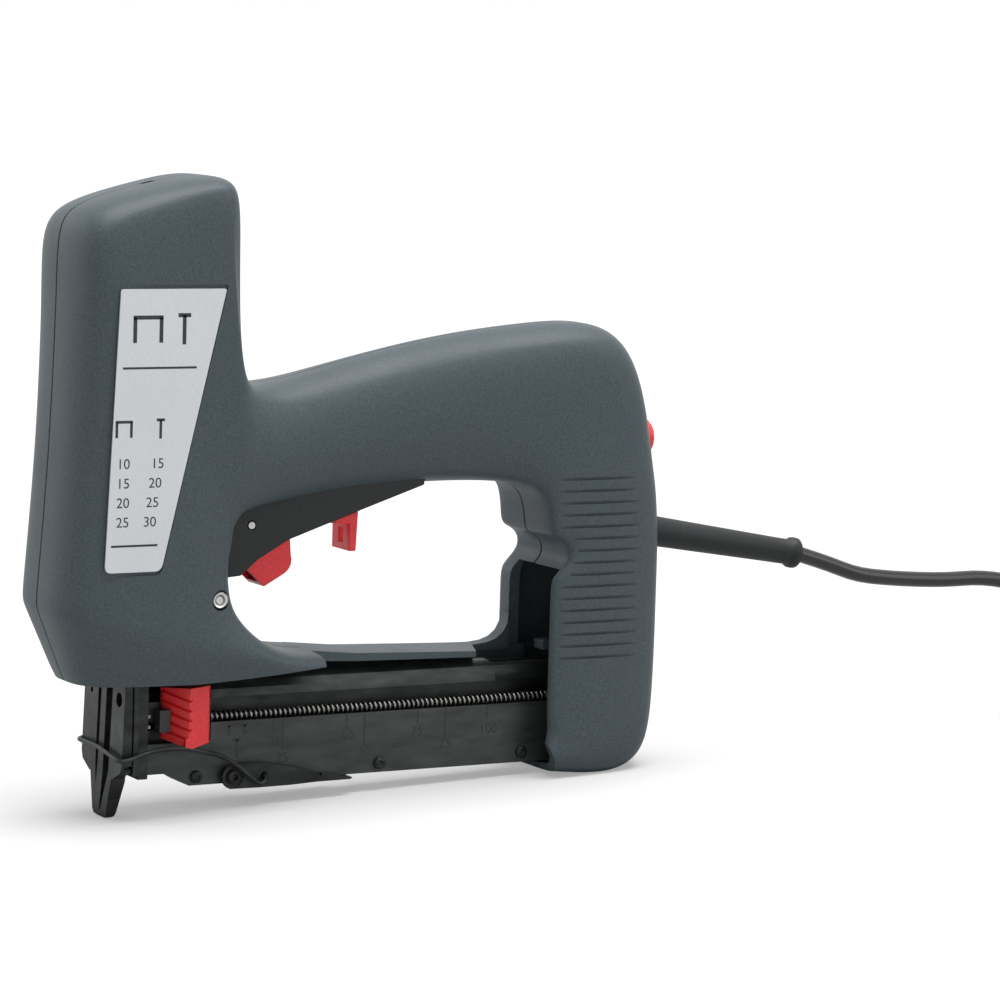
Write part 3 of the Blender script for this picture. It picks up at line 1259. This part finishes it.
FLOOR_REACH = 30000.0
FLOOR_GLOW = 0.32
FLOOR_CORNERS = ((-1, -1, 0), (1, -1, 0), (1, 1, 0), (-1, 1, 0))


class TACKER_OT_stage(bpy.types.Operator):
    """Sets up the floor, light and the photograph's camera"""

    bl_idname = "tacker.stage"
    bl_label = "Stage"

    def execute(self, context):
        settings = look("stage")
        self.floor(settings)
        self.sky(context.scene, settings)
        self.sun("key_light", settings.key, (math.radians(2), math.radians(6), 0), 50)
        self.sun("right_light", settings.side, (math.radians(64), 0, math.radians(42)), 40)
        self.sun("left_light", settings.side, (math.radians(64), 0, math.radians(-140)), 40)
        self.camera(context.scene)
        context.scene.view_settings.view_transform = "Standard"
        return {"FINISHED"}

    def floor(self, settings):
        """A pale floor that keeps the object's shadow, with a glow of its own for camera rays."""
        points = FLOOR_REACH * np.array(FLOOR_CORNERS)
        floor = shown(mesh_of("pale_floor", on_floor(points), [[0, 1, 2, 3]]))
        made = bpy.data.materials.new("pale_floor")
        made.use_nodes = True
        nodes, links = made.node_tree.nodes, made.node_tree.links
        shader = nodes["Principled BSDF"]
        shader.inputs["Base Color"].default_value = (*settings.floor, 1)
        shader.inputs["Roughness"].default_value = 0.9
        shader.inputs["Specular IOR Level"].default_value = 0.0
        glow, both, seen, level = (added(nodes, kind) for kind in ("Emission", "AddShader", "LightPath", "Math"))
        level.operation = "MULTIPLY"
        level.inputs[1].default_value = FLOOR_GLOW
        links.new(seen.outputs["Is Camera Ray"], level.inputs[0])
        links.new(level.outputs[0], glow.inputs["Strength"])
        links.new(shader.outputs[0], both.inputs[0])
        links.new(glow.outputs[0], both.inputs[1])
        links.new(both.outputs[0], nodes["Material Output"].inputs["Surface"])
        floor.data.materials.append(made)

    def sky(self, scene, settings):
        """A world that is white for camera, glossy and transmission rays and lights the rest evenly at a low level."""
        world = bpy.data.worlds.new("studio")
        scene.world = world
        world.use_nodes = True
        nodes, links = world.node_tree.nodes, world.node_tree.links
        back = nodes["Background"]
        back.inputs["Color"].default_value = (1, 1, 1, 1)
        seen, glossy, clear, level = (added(nodes, kind) for kind in ("LightPath", "Math", "Math", "Math"))
        glossy.operation = clear.operation = "MAXIMUM"
        links.new(seen.outputs["Is Camera Ray"], glossy.inputs[0])
        links.new(seen.outputs["Is Glossy Ray"], glossy.inputs[1])
        links.new(glossy.outputs[0], clear.inputs[0])
        links.new(seen.outputs["Is Transmission Ray"], clear.inputs[1])
        level.operation = "MULTIPLY_ADD"
        level.inputs[1].default_value = 1 - settings.sky
        level.inputs[2].default_value = settings.sky
        links.new(clear.outputs[0], level.inputs[0])
        links.new(level.outputs[0], back.inputs["Strength"])

    def sun(self, name, strength, turn, softness):
        """A sun lamp with an angle of softness in degrees."""
        lamp = bpy.data.lights.new(name, "SUN")
        lamp.energy = strength
        lamp.angle = math.radians(softness)
        obj = shown(lamp)
        obj.rotation_euler = turn
        obj.location = (0, 0, 2)

    def camera(self, scene):
        """The photograph's camera, which puts the nose tip on its pixel of the photograph."""
        a, e = VIEW_TURN, VIEW_RISE
        right = np.array((math.cos(a), math.sin(a), 0))
        up = np.array((-math.sin(a) * math.sin(e), math.cos(a) * math.sin(e), math.cos(e)))
        ahead = np.array((-math.sin(a) * math.cos(e), math.cos(a) * math.cos(e), -math.sin(e)))
        middle = PHOTO_SIZE / 2
        ray = ahead + (NOSE_PIXEL[0] - middle) / PHOTO_FOCUS * right - (NOSE_PIXEL[1] - middle) / PHOTO_FOCUS * up
        lens = bpy.data.cameras.new("photo_camera")
        lens.sensor_width = SENSOR
        lens.lens = SENSOR * PHOTO_FOCUS / PHOTO_SIZE
        lens.clip_end = 200.0
        camera = shown(lens)
        place = np.eye(4)
        place[:3, :3] = np.stack([right, up, -ahead], axis=1)
        place[:3, 3] = on_floor(-NOSE_DISTANCE * ray)
        camera.matrix_world = Matrix(place.tolist())
        scene.camera = camera


GROUPS = {
    "housing": HousingLook,
    "steel": SteelLook,
    "controls": ControlLook,
    "lead": LeadLook,
    "stage": StageLook,
}
OPERATORS = (
    TACKER_OT_stage,
    TACKER_OT_lead,
    TACKER_OT_housing,
    TACKER_OT_nose,
    TACKER_OT_magazine,
    TACKER_OT_controls,
    TACKER_OT_inside,
)


class TACKER_PT_sidebar(bpy.types.Panel):
    """Lists the pieces and their settings"""

    bl_label = "Electric tacker"
    bl_idname = "TACKER_PT_sidebar"
    bl_space_type = "VIEW_3D"
    bl_region_type = "UI"
    bl_category = "Tacker"

    def draw(self, context):
        for operator in OPERATORS:
            self.layout.operator(operator.bl_idname)
        for name, group in GROUPS.items():
            column = self.layout.box().column()
            column.label(text=name.capitalize())
            for setting in group.__annotations__:
                column.prop(getattr(context.scene, f"tacker_{name}"), setting)


def register():
    """Registers the settings, operators and panel."""
    for name, group in GROUPS.items():
        bpy.utils.register_class(group)
        setattr(bpy.types.Scene, f"tacker_{name}", PointerProperty(type=group))
    for part in (*OPERATORS, TACKER_PT_sidebar):
        bpy.utils.register_class(part)


def unregister():
    """Removes what register added."""
    for part in (TACKER_PT_sidebar, *reversed(OPERATORS)):
        bpy.utils.unregister_class(part)
    for name, group in reversed(GROUPS.items()):
        delattr(bpy.types.Scene, f"tacker_{name}")
        bpy.utils.unregister_class(group)


def main():
    """Registers the add-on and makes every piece."""
    register()
    bpy.ops.tacker.stage()
    bpy.ops.tacker.lead()
    bpy.ops.tacker.housing()
    bpy.ops.tacker.nose()
    bpy.ops.tacker.magazine()
    bpy.ops.tacker.controls()
    bpy.ops.tacker.inside()


if __name__ == "__main__":
    main()
